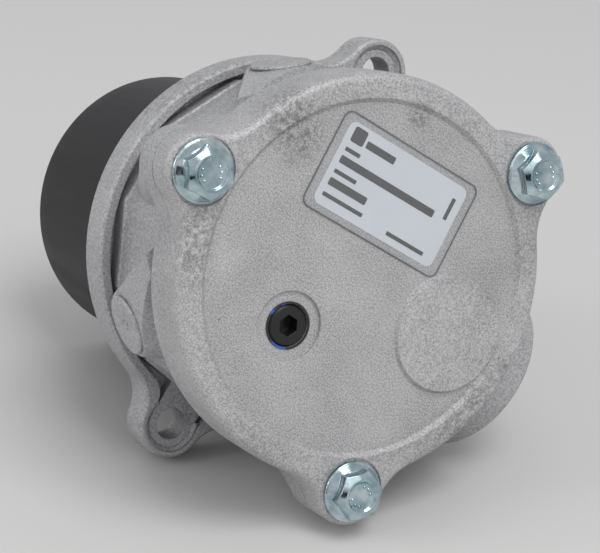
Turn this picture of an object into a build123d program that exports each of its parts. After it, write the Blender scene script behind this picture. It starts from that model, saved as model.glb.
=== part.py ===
from build123d import *

import math
import os

# Tank-top return line filter: a cast head that bolts to a tank lid, with a bowl hanging below it.
#
# The filter stands on the vertical axis Z. The origin is the centre of the head's sealing face, the
# underside of the tank flange, and +Z points up out of the tank. Oil enters the port on +X, fills the
# bowl round the element, passes the pleated media inwards and leaves by the spigot in the bowl's floor.
# A spring-loaded bypass valve in the element's top cap lets oil past a clogged element.
# All lengths are in millimetres and all angles in degrees.

# --- bowl mouth: the size that the head, the cover and the seals are built round -------------------
BOWL_TOP_R = 42.4
BOWL_HOLE_GAP = 0.4
BOWL_LIP_OVERLAP = 1.4
BOWL_LIP_GAP = 0.7
BOWL_HOLE_R = BOWL_TOP_R + BOWL_HOLE_GAP
BORE_R = BOWL_TOP_R + BOWL_LIP_OVERLAP + BOWL_LIP_GAP
BOWL_LEDGE_Z = 4.0

# --- head: tank flange and ears -------------------------------------------------------------------
FLANGE_R = BORE_R + 8.8
FLANGE_PLATE = 5.2  # floor of the relief groove
FLANGE_RIM_TOP = 10.0
FLANGE_RIM_WALL = 3.0
FLANGE_CHAMFER = 0.7
EAR_PITCH_R = BORE_R + 13.0
EAR_R = 9.6
EAR_HOLE_R = 4.5
EAR_BLEND_R = 11.0
RELIEF_BLEND_R = 6.0
EAR_TOP = 8.8
EAR_WALL = 1.7
EAR_SLOT = 1.3  # between an ear's wall and its pad
EAR_PAD_NECK_R = 6.5
EAR_ANGLES = (90.0, -90.0)

# --- head: body, collar and screw columns ---------------------------------------------------------
HEAD_TOP = 53.0
COLLAR_R = BORE_R + 9.1
COLLAR_HEIGHT = 8.0
COLLAR_SLOPE = 5.0  # height of the cone that carries the collar
BODY_SIDES = 13
SKIRT_FLAT_R = BORE_R + 3.2  # half the distance across the skirt's flats
SKIRT_TOP = 11.5
SKIRT_CHAMFER = 0.5
WALL_FOOT_R = BORE_R + 2.7
WALL_TOP_R = BORE_R + 2.3
SCREW_PITCH_R = BORE_R + 12.0
SCREW_ANGLES = (180.0, 60.0, -60.0)
LOBE_R = 9.7
LOBE_BLEND_R = 17.0
COLUMN_FOOT_R = 11.5
COLUMN_FOOT_PITCH_R = WALL_FOOT_R - COLUMN_FOOT_R + 1.2
COLUMN_INSET = 0.4
TAP_DRILL_R = 3.4
TAP_DEPTH = 18.0

# --- head: inlet port and blank gauge bosses ------------------------------------------------------
PORT_Z = 26.0
PORT_BOSS_R = 24.0
PORT_FACE_X = BORE_R + 24.0
PORT_HOLE_R = 15.15
PORT_SPOT_R = 20.5
PORT_SPOT_DEPTH = 0.8
PORT_CHAMFER = 1.2
GAUGE_ANGLES = (130.0, -130.0)
GAUGE_Z = 23.0
GAUGE_R = 9.0
GAUGE_FOOT_R = 13.0
GAUGE_FACE_R = BORE_R + 8.6
GAUGE_TIP_R = 1.8
GAUGE_TIP_FOOT_R = 4.5
GAUGE_TIP_SIDE = 19.0  # the boss runs up to a tip beside the rear screw column
GAUGE_TIP_RISE = 18.5
GAUGE_DIMPLE_R = 2.3
GAUGE_DIMPLE_DEPTH = 0.8

# --- cover ----------------------------------------------------------------------------------------
COVER_R = COLLAR_R + 0.2
COVER_THICK = 9.0
COVER_RIM_R = BORE_R + 2.8
COVER_RECESS = 1.1
COVER_EDGE_FILLET = 2.4
COVER_FOOT_CHAMFER = 0.35
COVER_SPIGOT_DEPTH = 5.0
COVER_SPIGOT_WALL = 6.0
BLANK_BOSS_X = 30.2
BLANK_BOSS_R = 15.6
BLANK_BOSS_DRAFT = 0.6
PLUG_PITCH_R = 24.4
PLUG_ANGLE = -121.5
PLUG_SPOT_R = 9.2
PLUG_SPOT_DEPTH = 0.9
SPRING_CUP_DEPTH = 3.0
SPRING_CUP_WALL = 2.0
SCREW_HOLE_R = 4.4
SCREW_SPOT_R = 8.9
SCREW_SPOT_DEPTH = 0.5

# --- fasteners ------------------------------------------------------------------------------------
SCREW_SHANK_R = 4.0
SCREW_THREAD_R = 3.39  # root size, a thread's core inside the tap drill
SCREW_SHANK = 8.2
SCREW_LENGTH = 25.0
SCREW_FLANGE_R = 8.3
SCREW_FLANGE_EDGE = 1.2
SCREW_FLANGE_RISE = 1.6
SCREW_HEX_FLATS = 12.0
SCREW_HEX_HEIGHT = 5.0
SCREW_CROWN_R = 4.7
SCREW_CROWN_DROP = 5.0
SCREW_CROWN_SPREAD = 9.6
SCREW_DISH_R = 4.2
SCREW_DISH_DEPTH = 0.45
PLUG_R = 5.7
PLUG_LENGTH = 7.0
PLUG_PROUD = 0.4
PLUG_HEX_FLATS = 5.0
PLUG_HEX_DEPTH = 4.2
SEALANT_R = 6.3
SEALANT_THICK = 0.25

# --- label ----------------------------------------------------------------------------------------
LABEL_X = -5.9
LABEL_Y = 22.1
LABEL_TURN = 3.4
LABEL_LENGTH = 41.0
LABEL_WIDTH = 23.2
LABEL_CORNER_R = 2.2
LABEL_THICK = 0.12
FILM_LENGTH = 46.4
FILM_WIDTH = 27.2
FILM_CORNER_R = 2.6
FILM_THICK = 0.3

# --- bowl -----------------------------------------------------------------------------------------
BOWL_FOOT_Z = -71.6
BOWL_FOOT_R = BOWL_TOP_R - 1.6
BOWL_WALL = 2.6
BOWL_FLOOR = 3.0
BOWL_LIP_HEIGHT = 4.0
BOWL_FOOT_FILLET = 3.0
BOWL_RIB_COUNT = 6
BOWL_RIB_WIDTH = 2.0
SPIGOT_R = 16.0
SPIGOT_BORE_R = 13.6
SPIGOT_HEIGHT = 18.0
SEAT_R = 19.5
SEAT_HEIGHT = 6.0
FOOT_RECESS_R = 30.0
FOOT_RECESS_DEPTH = 1.0

# --- element --------------------------------------------------------------------------------------
ELEMENT_CAP_R = BOWL_FOOT_R - BOWL_WALL - 3.2
ELEMENT_LENGTH = 88.6
CAP_PLATE = 1.6
CAP_SKIRT = 5.0
CAP_WALL = 1.0
CORE_R = 19.7
MEDIA_OUTER_R = ELEMENT_CAP_R - 1.8
MEDIA_INNER_R = CORE_R + 0.9
MEDIA_THICK = 0.9
PLEAT_COUNT = 48
CORE_WALL = 1.0
CORE_HOLE_R = 3.0
CORE_HOLE_COUNT = 8
CORE_HOLE_ROWS = 5
COLLAR_WALL = 2.3
COLLAR_TUBE = 8.0
ELEMENT_RING_CORD = 2.0

# --- bypass valve ---------------------------------------------------------------------------------
VALVE_SEAT_R = 9.0
POPPET_R = 11.5
POPPET_THICK = 2.0
STEM_R = 2.5
STEM_LENGTH = 31.0
CLIP_R = 4.3
CLIP_THICK = 0.8
CLIP_GROOVE_R = 2.0
CLIP_FROM_END = 1.2
CLIP_GAP_WIDTH = 3.6
CAGE_R = 14.5
CAGE_WALL = 1.2
CAGE_DEPTH = 24.0
CAGE_WINDOWS = 3
CAGE_WINDOW_WIDTH = 14.0
BYPASS_WIRE = 1.6
BYPASS_COIL_R = 7.0
BYPASS_TURNS = 5.0
BYPASS_TRAVEL = 6.0

# --- hold-down spring -----------------------------------------------------------------------------
HOLD_WIRE = 2.4
HOLD_COIL_R = 14.0
HOLD_TURNS = 3.5

# --- seals and clearances -------------------------------------------------------------------------
COVER_RING_CORD = 2.6
COVER_RING_R = BORE_R + 4.1
FLANGE_RING_CORD = 3.0
FLANGE_RING_R = BORE_R + 3.0
BOWL_RING_CORD = 2.0
RING_GAP = 0.02
RING_SIDE_GAP = 0.25
SLIP = 0.3
RUNNING = 0.05

COVER_TOP = HEAD_TOP + COVER_THICK
COVER_FACE = COVER_TOP - COVER_RECESS
BOWL_FLOOR_TOP = BOWL_FOOT_Z + BOWL_FLOOR
SEAT_TOP = BOWL_FLOOR_TOP + SEAT_HEIGHT
ELEMENT_TOP = SEAT_TOP + ELEMENT_LENGTH


def polar(radius, angle, z=0.0):
    """Point at a radius and angle about the filter's axis."""
    turn = math.radians(angle)
    return Vector(radius * math.cos(turn), radius * math.sin(turn), z)


def upright(radius, low, high, x=0.0, y=0.0):
    """Vertical cylinder from height low to height high."""
    return Pos(x, y, (low + high) / 2) * Cylinder(radius, high - low)


def radial(radius, start, end, angle, z):
    """Horizontal cylinder along the radius at an angle, from distance start to distance end."""
    bar = Rot(0, 90, 0) * Cylinder(radius, end - start)
    return Rot(0, 0, angle) * Pos((start + end) / 2, 0, z) * bar


def ring(mean_radius, cord, z):
    """O-ring whose cord is centred at height z."""
    return Pos(0, 0, z) * Torus(mean_radius, cord / 2)


def ring_groove(inner, outer, low, high):
    """Square-sided ring to cut for a seal."""
    return upright(outer, low, high) - upright(inner, low, high)


def lobed_plate(radius, lobe_radius, low, high):
    """Round plate with a lobe at each cover screw, blended into its edge by concave fillets."""
    outline = Circle(radius)
    for angle in SCREW_ANGLES:
        spot = polar(SCREW_PITCH_R, angle)
        outline += Pos(spot.X, spot.Y, 0) * Circle(lobe_radius)
    outline = fillet(outline.vertices(), LOBE_BLEND_R)
    return Pos(0, 0, low) * extrude(outline, high - low)


def flange_outline(disc_radius, ear_radius, blend_radius):
    """Disc with its two ears, blended into it by concave fillets."""
    outline = Circle(disc_radius)
    for angle in EAR_ANGLES:
        spot = polar(EAR_PITCH_R, angle)
        outline += Pos(spot.X, spot.Y, 0) * Circle(ear_radius)
    return fillet(outline.vertices(), blend_radius)


def faceted(flat_radius, z):
    """Polygon at height z with a flat square to -X; its size is half the distance across flats."""
    corner = flat_radius / math.cos(math.pi / BODY_SIDES)
    return Pos(0, 0, z) * Rot(0, 0, 180.0 - 180.0 / BODY_SIDES) * RegularPolygon(corner, BODY_SIDES)


def body_wall():
    """Faceted skirt with a chamfered top edge, and the drafted wall that rises from it."""
    skirt = extrude(faceted(SKIRT_FLAT_R, FLANGE_PLATE - 1), SKIRT_TOP - FLANGE_PLATE + 1)
    skirt = chamfer(skirt.faces().sort_by(Axis.Z)[-1].edges(), SKIRT_CHAMFER)
    wall = loft([faceted(WALL_FOOT_R, FLANGE_PLATE), faceted(WALL_TOP_R, HEAD_TOP - COLLAR_HEIGHT)])
    return skirt + wall


def collar():
    """Lobed collar under the cover, carried by a short cone on the body."""
    low = HEAD_TOP - COLLAR_HEIGHT
    cone = Pos(0, 0, low - COLLAR_SLOPE / 2) * Cone(WALL_TOP_R, COLLAR_R - 2.5, COLLAR_SLOPE)
    return lobed_plate(COLLAR_R, LOBE_R, low, HEAD_TOP) + cone


def screw_column(angle):
    """Column that runs from a cover screw's lobe down to the skirt, wider at its foot."""
    top = Pos(SCREW_PITCH_R, 0, HEAD_TOP - COLLAR_HEIGHT) * Circle(LOBE_R - COLUMN_INSET)
    foot = Pos(COLUMN_FOOT_PITCH_R, 0, SKIRT_TOP - 1.5) * Circle(COLUMN_FOOT_R)
    return Rot(0, 0, angle) * loft([foot, top])


def ear_pad(angle):
    """Raised pad round an ear's hole, with a neck that joins it to the skirt."""
    outline = Pos(EAR_PITCH_R, 0, 0) * Circle(EAR_R - EAR_WALL - EAR_SLOT)
    outline += Pos(SKIRT_FLAT_R - 2.0, 0, 0) * Circle(EAR_PAD_NECK_R)
    pad = extrude(make_hull(outline.edges()), EAR_TOP - FLANGE_PLATE + 1)
    return Rot(0, 0, angle) * Pos(0, 0, FLANGE_PLATE - 1) * pad


def flange():
    """Tank flange: a plate with a raised rim, a relief groove and two ears."""
    plate = extrude(flange_outline(FLANGE_R, EAR_R, EAR_BLEND_R), FLANGE_RIM_TOP)
    plate = chamfer(plate.faces().sort_by(Axis.Z)[-1].outer_wire().edges(), FLANGE_CHAMFER)
    relief = flange_outline(FLANGE_R - FLANGE_RIM_WALL, EAR_R - EAR_WALL, RELIEF_BLEND_R)
    plate -= Pos(0, 0, FLANGE_PLATE) * extrude(relief, FLANGE_RIM_TOP)
    for angle in EAR_ANGLES:
        plate += ear_pad(angle)
    return plate


def boss_tail(x, radius, tip_radius, side):
    """Tapered tail on the plane square to X at a distance x, from the boss up to a tip at one side."""
    face = Plane(origin=(x, 0, GAUGE_Z), x_dir=(0, 1, 0), z_dir=(1, 0, 0))
    tip = Vector(side * GAUGE_TIP_SIDE, GAUGE_TIP_RISE)
    across = Vector(-tip.Y, tip.X).normalized()
    start = across * radius
    end = across * tip_radius
    return face * make_face(Polyline(start, tip + end, tip - end, start * -1, close=True))


def gauge_boss(angle):
    """Blank boss for a gauge port: a flat pad with sloping sides that runs up beside the rear column."""
    side = math.copysign(1.0, angle)
    foot_x = BORE_R + 0.8
    pad = Cone(GAUGE_FOOT_R, GAUGE_R, GAUGE_FACE_R - foot_x)
    boss = Pos((foot_x + GAUGE_FACE_R) / 2, 0, GAUGE_Z) * Rot(0, 90, 0) * pad
    boss += loft(
        [
            boss_tail(foot_x, GAUGE_FOOT_R, GAUGE_TIP_FOOT_R, side),
            boss_tail(GAUGE_FACE_R, GAUGE_R, GAUGE_TIP_R, side),
        ]
    )
    return Rot(0, 0, angle) * boss & upright(COLLAR_R - 0.6, FLANGE_PLATE, HEAD_TOP - 1)


def port_boss():
    """Inlet boss on +X with a bevelled mouth."""
    boss = radial(PORT_BOSS_R, BORE_R - 6, PORT_FACE_X, 0, PORT_Z)
    mouth = boss.faces().sort_by(Axis.X)[-1].edges()
    return chamfer(mouth, PORT_CHAMFER)


def head_casting():
    """Cast head with its flange, body, collar, ports, seats and tapped holes."""
    head = flange() + body_wall() + collar() + port_boss()
    for angle in SCREW_ANGLES:
        head += screw_column(angle)
    for angle in GAUGE_ANGLES:
        head += gauge_boss(angle)
    head -= upright(BORE_R, BOWL_LEDGE_Z, HEAD_TOP + 1)
    head -= upright(BOWL_HOLE_R, -1, HEAD_TOP)
    head -= radial(PORT_HOLE_R, 0, PORT_FACE_X + 1, 0, PORT_Z)
    head -= radial(PORT_SPOT_R, PORT_FACE_X - PORT_SPOT_DEPTH, PORT_FACE_X + 1, 0, PORT_Z)
    for angle in SCREW_ANGLES:
        spot = polar(SCREW_PITCH_R, angle)
        head -= upright(TAP_DRILL_R, HEAD_TOP - TAP_DEPTH, HEAD_TOP + 1, spot.X, spot.Y)
    for angle in EAR_ANGLES:
        spot = polar(EAR_PITCH_R, angle)
        head -= upright(EAR_HOLE_R, -1, FLANGE_RIM_TOP + 1, spot.X, spot.Y)
    for angle in GAUGE_ANGLES:
        dimple = Cone(0.4, GAUGE_DIMPLE_R, GAUGE_DIMPLE_DEPTH)
        seat = Pos(GAUGE_FACE_R - GAUGE_DIMPLE_DEPTH / 2, 0, GAUGE_Z) * Rot(0, 90, 0)
        head -= Rot(0, 0, angle) * seat * dimple
    head -= cover_ring_groove()
    head -= flange_ring_groove()
    return head


def cover_ring_groove():
    """Groove in the head's top face for the cover's seal."""
    half = COVER_RING_CORD / 2 + RING_SIDE_GAP
    depth = COVER_RING_CORD + RING_GAP
    return ring_groove(COVER_RING_R - half, COVER_RING_R + half, HEAD_TOP - depth, HEAD_TOP + 1)


def flange_ring_groove():
    """Groove in the flange's underside for the tank seal."""
    half = FLANGE_RING_CORD / 2 + RING_SIDE_GAP
    return ring_groove(FLANGE_RING_R - half, FLANGE_RING_R + half, -1, FLANGE_RING_CORD + RING_GAP)


def cover_casting():
    """Cast cover: lobed plate with a recessed face, a blank boss, a plug hole and a spring cup."""
    cover = lobed_plate(COVER_R, LOBE_R, HEAD_TOP, COVER_TOP)
    cover = fillet(cover.faces().sort_by(Axis.Z)[-1].outer_wire().edges(), COVER_EDGE_FILLET)
    cover = chamfer(cover.faces().sort_by(Axis.Z)[0].outer_wire().edges(), COVER_FOOT_CHAMFER)
    recess = Pos(0, 0, COVER_FACE) * Cone(
        COVER_RIM_R - COVER_RECESS, COVER_RIM_R, COVER_RECESS, align=(Align.CENTER, Align.CENTER, Align.MIN)
    )
    boss = Pos(BLANK_BOSS_X, 0, COVER_FACE) * Cone(
        BLANK_BOSS_R + BLANK_BOSS_DRAFT, BLANK_BOSS_R, COVER_RECESS, align=(Align.CENTER, Align.CENTER, Align.MIN)
    )
    cover -= recess
    cover += boss
    spigot = upright(BORE_R - SLIP, HEAD_TOP - COVER_SPIGOT_DEPTH, HEAD_TOP)
    cover += spigot - upright(BORE_R - COVER_SPIGOT_WALL, HEAD_TOP - COVER_SPIGOT_DEPTH - 1, HEAD_TOP)
    cup_r = HOLD_COIL_R + HOLD_WIRE / 2 + SLIP
    cup = upright(cup_r + SPRING_CUP_WALL, HEAD_TOP - SPRING_CUP_DEPTH, HEAD_TOP)
    cover += cup - upright(cup_r, HEAD_TOP - SPRING_CUP_DEPTH - 1, HEAD_TOP)
    plug = polar(PLUG_PITCH_R, PLUG_ANGLE)
    cover -= upright(PLUG_SPOT_R, COVER_FACE - PLUG_SPOT_DEPTH, COVER_TOP + 1, plug.X, plug.Y)
    cover -= upright(PLUG_R, HEAD_TOP - 1, COVER_TOP, plug.X, plug.Y)
    for angle in SCREW_ANGLES:
        spot = polar(SCREW_PITCH_R, angle)
        cover -= upright(SCREW_HOLE_R, HEAD_TOP - 1, COVER_TOP + 1, spot.X, spot.Y)
        cover -= upright(SCREW_SPOT_R, COVER_TOP - SCREW_SPOT_DEPTH, COVER_TOP + 1, spot.X, spot.Y)
    return cover


def cover_screw():
    """Flanged hexagon screw with its seat at z = 0 and its shank pointing down."""
    edge = Pos(0, 0, SCREW_FLANGE_EDGE / 2) * Cylinder(SCREW_FLANGE_R, SCREW_FLANGE_EDGE)
    edge = fillet(edge.edges().sort_by(Axis.Z)[-1], 0.4)
    skirt = Pos(0, 0, SCREW_FLANGE_EDGE) * Cone(
        SCREW_FLANGE_R - 0.5,
        SCREW_HEX_FLATS / 2 + 0.2,
        SCREW_FLANGE_RISE,
        align=(Align.CENTER, Align.CENTER, Align.MIN),
    )
    top = SCREW_FLANGE_EDGE + SCREW_HEX_HEIGHT
    corner_r = SCREW_HEX_FLATS / math.sqrt(3)
    hexagon = extrude(RegularPolygon(corner_r, 6), top)
    crown = Pos(0, 0, top) * Cone(
        SCREW_CROWN_R + SCREW_CROWN_SPREAD,
        SCREW_CROWN_R,
        SCREW_CROWN_DROP,
        align=(Align.CENTER, Align.CENTER, Align.MAX),
    )
    hexagon &= crown
    hexagon -= Pos(0, 0, top) * Cone(
        SCREW_DISH_R - 0.5, SCREW_DISH_R, SCREW_DISH_DEPTH, align=(Align.CENTER, Align.CENTER, Align.MAX)
    )
    shank = upright(SCREW_SHANK_R, -SCREW_SHANK, SCREW_FLANGE_EDGE)
    core = upright(SCREW_THREAD_R, -SCREW_LENGTH, -SCREW_SHANK + 1)
    return edge + skirt + hexagon + shank + core


def cover_screws():
    """The three identical cover screws, each turned a little differently as tightened."""
    seat = COVER_TOP - SCREW_SPOT_DEPTH
    placed = []
    for angle, turn in zip(SCREW_ANGLES, (4.0, 18.0, 41.0)):
        spot = polar(SCREW_PITCH_R, angle)
        placed.append(Pos(spot.X, spot.Y, seat) * Rot(0, 0, turn) * cover_screw())
    return Compound(placed)


def vent_plug():
    """Hexagon socket plug in the cover, a little proud of its spot-face."""
    spot = polar(PLUG_PITCH_R, PLUG_ANGLE)
    top = COVER_FACE - PLUG_SPOT_DEPTH + PLUG_PROUD
    plug = upright(PLUG_R - RUNNING, top - PLUG_LENGTH, top)
    plug = chamfer(plug.edges().sort_by(Axis.Z)[-1], 0.7)
    socket = RegularPolygon(PLUG_HEX_FLATS / math.sqrt(3), 6)
    plug -= Pos(0, 0, top - PLUG_HEX_DEPTH) * extrude(socket, PLUG_HEX_DEPTH + 1)
    return Pos(spot.X, spot.Y, 0) * plug


def plug_sealant():
    """Bead of thread sealant squeezed out round the plug on its spot-face."""
    spot = polar(PLUG_PITCH_R, PLUG_ANGLE)
    seat = COVER_FACE - PLUG_SPOT_DEPTH
    bead = upright(SEALANT_R, seat, seat + SEALANT_THICK, spot.X, spot.Y)
    return bead - upright(PLUG_R, seat - 1, seat + 1, spot.X, spot.Y)


def rounded_plate(length, width, corner, low, high):
    """Rounded rectangle on the label's place, between two heights."""
    plate = extrude(RectangleRounded(length, width, corner), high - low)
    return Pos(LABEL_X, LABEL_Y, low) * Rot(0, 0, LABEL_TURN) * plate


def label_plate():
    """Printed label on the cover's recessed face."""
    return rounded_plate(LABEL_LENGTH, LABEL_WIDTH, LABEL_CORNER_R, COVER_FACE, COVER_FACE + LABEL_THICK)


def label_film():
    """Clear protective film over the label, with a pocket that holds the label's thickness."""
    film = rounded_plate(FILM_LENGTH, FILM_WIDTH, FILM_CORNER_R, COVER_FACE, COVER_FACE + FILM_THICK)
    return film - label_plate()


def bowl():
    """Moulded bowl: drafted cup with a lip, a foot, an outlet spigot and floor ribs."""
    top = BOWL_LEDGE_Z
    draft = (BOWL_TOP_R - BOWL_FOOT_R) / (top - BOWL_FOOT_Z)
    outside = Pos(0, 0, BOWL_FOOT_Z) * Cone(
        BOWL_FOOT_R, BOWL_TOP_R, top - BOWL_FOOT_Z, align=(Align.CENTER, Align.CENTER, Align.MIN)
    )
    outside = fillet(outside.edges().sort_by(Axis.Z)[0], BOWL_FOOT_FILLET)
    outside += upright(BOWL_TOP_R + BOWL_LIP_OVERLAP, top, top + BOWL_LIP_HEIGHT)
    depth = top + BOWL_LIP_HEIGHT - BOWL_FLOOR_TOP
    inner_foot = BOWL_FOOT_R + draft * BOWL_FLOOR - BOWL_WALL
    inside = Pos(0, 0, BOWL_FLOOR_TOP) * Cone(
        inner_foot, inner_foot + draft * depth, depth, align=(Align.CENTER, Align.CENTER, Align.MIN)
    )
    cup = outside - inside
    cup += upright(SEAT_R, BOWL_FLOOR_TOP - 1, SEAT_TOP)
    cup += upright(SPIGOT_R, BOWL_FLOOR_TOP - 1, BOWL_FLOOR_TOP + SPIGOT_HEIGHT)
    for i in range(BOWL_RIB_COUNT):
        length = inner_foot - SEAT_R + 1.0
        rib = Box(length, BOWL_RIB_WIDTH, SEAT_HEIGHT - 1)
        place = Pos(SEAT_R - 0.5 + length / 2, 0, BOWL_FLOOR_TOP + (SEAT_HEIGHT - 1) / 2)
        cup += Rot(0, 0, i * 360 / BOWL_RIB_COUNT) * place * rib
    cup -= upright(SPIGOT_BORE_R, BOWL_FOOT_Z - 1, BOWL_FLOOR_TOP + SPIGOT_HEIGHT + 1)
    cup -= upright(FOOT_RECESS_R, BOWL_FOOT_Z - 1, BOWL_FOOT_Z + FOOT_RECESS_DEPTH)
    return cup


def bowl_ring():
    """Seal squeezed on top of the bowl's lip, against the head's bore."""
    z = BOWL_LEDGE_Z + BOWL_LIP_HEIGHT + BOWL_RING_CORD / 2
    return ring(BORE_R - BOWL_RING_CORD / 2 - RING_GAP, BOWL_RING_CORD, z)


def cap_shell(plate_low, skirt_up):
    """Pressed element cap: a plate with an outer skirt that points up or down."""
    plate_high = plate_low + CAP_PLATE
    low = plate_low if skirt_up else plate_high - CAP_SKIRT
    cap = upright(ELEMENT_CAP_R, low, low + CAP_SKIRT)
    cap = fillet(cap.edges().sort_by(Axis.Z)[0 if skirt_up else -1], 1.0)
    inner_low = plate_high if skirt_up else low - 1
    return cap - upright(ELEMENT_CAP_R - CAP_WALL, inner_low, inner_low + CAP_SKIRT + 1 - CAP_PLATE)


def element_bottom_cap():
    """Lower cap with the collar that slides over the bowl's spigot."""
    cap = cap_shell(SEAT_TOP, True)
    collar_r = SPIGOT_R + SLIP + COLLAR_WALL
    cap += upright(collar_r, SEAT_TOP, SEAT_TOP + COLLAR_TUBE)
    cap -= upright(SPIGOT_R + SLIP, SEAT_TOP - 1, SEAT_TOP + COLLAR_TUBE + 1)
    z = SEAT_TOP + COLLAR_TUBE / 2 + 0.5
    half = ELEMENT_RING_CORD / 2 + RING_GAP
    groove_r = SPIGOT_R + ELEMENT_RING_CORD + 2 * RING_GAP
    return cap - ring_groove(SPIGOT_R - 1, groove_r, z - half, z + half)


def element_ring():
    """Seal between the lower cap and the spigot."""
    z = SEAT_TOP + COLLAR_TUBE / 2 + 0.5
    return ring(SPIGOT_R + ELEMENT_RING_CORD / 2 + RING_GAP, ELEMENT_RING_CORD, z)


def element_top_cap():
    """Upper cap with the bypass valve's seat in its middle."""
    cap = cap_shell(ELEMENT_TOP - CAP_PLATE, False)
    return cap - upright(VALVE_SEAT_R, ELEMENT_TOP - CAP_SKIRT - 1, ELEMENT_TOP + 1)


def element_media():
    """Pleated media: a closed zigzag wall between the two caps."""
    half_turn = 180.0 / PLEAT_COUNT
    outer = []
    inner = []
    for i in range(PLEAT_COUNT):
        crest = i * 2 * half_turn
        outer += [polar(MEDIA_OUTER_R, crest), polar(MEDIA_INNER_R + MEDIA_THICK, crest + half_turn)]
        inner += [polar(MEDIA_OUTER_R - 3 * MEDIA_THICK, crest), polar(MEDIA_INNER_R, crest + half_turn)]
    section = make_face(Polyline(*outer, close=True)) - make_face(Polyline(*inner, close=True))
    low = SEAT_TOP + CAP_PLATE
    high = ELEMENT_TOP - CAP_PLATE
    return Pos(0, 0, low) * extrude(section, high - low)


def element_core():
    """Perforated support tube inside the media."""
    low = SEAT_TOP + CAP_PLATE
    high = ELEMENT_TOP - CAP_PLATE
    tube = upright(CORE_R, low, high) - upright(CORE_R - CORE_WALL, low - 1, high + 1)
    first = low + COLLAR_TUBE + 6
    step = (high - CAP_SKIRT - first) / CORE_HOLE_ROWS
    holes = []
    for row in range(CORE_HOLE_ROWS):
        for i in range(CORE_HOLE_COUNT):
            angle = (i + 0.5 * (row % 2)) * 360 / CORE_HOLE_COUNT
            z = first + (row + 0.5) * step
            holes.append(radial(CORE_HOLE_R, CORE_R - 3, CORE_R + 2, angle, z))
    return tube - holes


def bypass_poppet():
    """Valve disc that closes on the upper cap's seat from below, with its guide stem."""
    top = ELEMENT_TOP - CAP_PLATE
    disc = upright(POPPET_R, top - POPPET_THICK, top)
    nose = Pos(0, 0, top) * Cone(
        VALVE_SEAT_R - SLIP, VALVE_SEAT_R - 2.5, CAP_PLATE - 0.2, align=(Align.CENTER, Align.CENTER, Align.MIN)
    )
    stem = upright(STEM_R, top - STEM_LENGTH, top)
    low = top - STEM_LENGTH + CLIP_FROM_END
    groove = ring_groove(CLIP_GROOVE_R, STEM_R + 1, low - RING_GAP, low + CLIP_THICK + RING_GAP)
    return disc + nose + stem - groove


def stem_clip():
    """Open retaining clip in the groove near the stem's lower end."""
    low = ELEMENT_TOP - CAP_PLATE - STEM_LENGTH + CLIP_FROM_END
    clip = ring_groove(CLIP_GROOVE_R + RING_GAP, CLIP_R, low, low + CLIP_THICK)
    gap = Box(2 * CLIP_R, CLIP_GAP_WIDTH, 2 * CLIP_THICK)
    return clip - Pos(CLIP_R, 0, low + CLIP_THICK / 2) * gap


def bypass_cage():
    """Windowed cage that hangs from the upper cap and guides the valve's stem."""
    top = ELEMENT_TOP - CAP_PLATE
    low = top - CAGE_DEPTH
    cage = upright(CAGE_R, low, top)
    cage -= upright(CAGE_R - CAGE_WALL, low + CAGE_WALL, top + 1)
    for i in range(CAGE_WINDOWS):
        angle = i * 360 / CAGE_WINDOWS
        window = Box(CAGE_R, CAGE_WINDOW_WIDTH, CAGE_DEPTH - 4 * CAGE_WALL - 2)
        cage -= Rot(0, 0, angle) * Pos(CAGE_R, 0, low + CAGE_DEPTH / 2) * window
    return cage - upright(STEM_R + RUNNING, low - 1, low + CAGE_WALL + 1)


def coil(wire, mean_radius, turns, low, high):
    """Compression spring between two heights, with its wire just inside both."""
    rise = high - low - wire - 2 * RUNNING
    path = Helix(rise / turns, rise, mean_radius)
    start = Plane(origin=path @ 0, z_dir=path % 0)
    spring = sweep(start * Circle(wire / 2), path=path, is_frenet=True)
    return Pos(0, 0, low + wire / 2 + RUNNING) * spring


def bypass_spring():
    """Spring that holds the poppet on its seat."""
    top = ELEMENT_TOP - CAP_PLATE
    floor = top - CAGE_DEPTH + CAGE_WALL
    return coil(BYPASS_WIRE, BYPASS_COIL_R, BYPASS_TURNS, floor, top - POPPET_THICK)


def hold_down_spring():
    """Spring between the cover and the element's upper cap."""
    return coil(HOLD_WIRE, HOLD_COIL_R, HOLD_TURNS, ELEMENT_TOP, HEAD_TOP)


NODES = {
    "head_casting": head_casting,
    "cover_casting": cover_casting,
    "cover_screws": cover_screws,
    "vent_plug": vent_plug,
    "plug_sealant": plug_sealant,
    "label_plate": label_plate,
    "label_film": label_film,
    "cover_o_ring": lambda: ring(COVER_RING_R, COVER_RING_CORD, HEAD_TOP - COVER_RING_CORD / 2 - RING_GAP / 2),
    "flange_o_ring": lambda: ring(FLANGE_RING_R, FLANGE_RING_CORD, FLANGE_RING_CORD / 2 + RING_GAP / 2),
    "bowl": bowl,
    "bowl_o_ring": bowl_ring,
    "element_top_cap": element_top_cap,
    "element_bottom_cap": element_bottom_cap,
    "element_media": element_media,
    "element_core": element_core,
    "element_o_ring": element_ring,
    "bypass_cage": bypass_cage,
    "bypass_poppet": bypass_poppet,
    "stem_clip": stem_clip,
    "bypass_spring": bypass_spring,
    "hold_down_spring": hold_down_spring,
}


def main():
    """Builds each piece and writes one STEP file for it."""
    os.makedirs("parts", exist_ok=True)
    for name, make in NODES.items():
        export_step(make(), f"parts/{name}.step")
        print("wrote", name)


main()
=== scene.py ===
"""Looks for a tank-top return line filter: finishes for its castings, fasteners, label and bowl,
the marks and threads that are too fine for its solids, and a plain pale studio.

Lengths are in metres in the part's own frame: the origin is the centre of the tank flange's sealing
face, +Z points up through the cover and +X out of the inlet port.
"""

import logging
import math
from dataclasses import dataclass
from enum import Enum
from typing import Sequence

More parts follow.
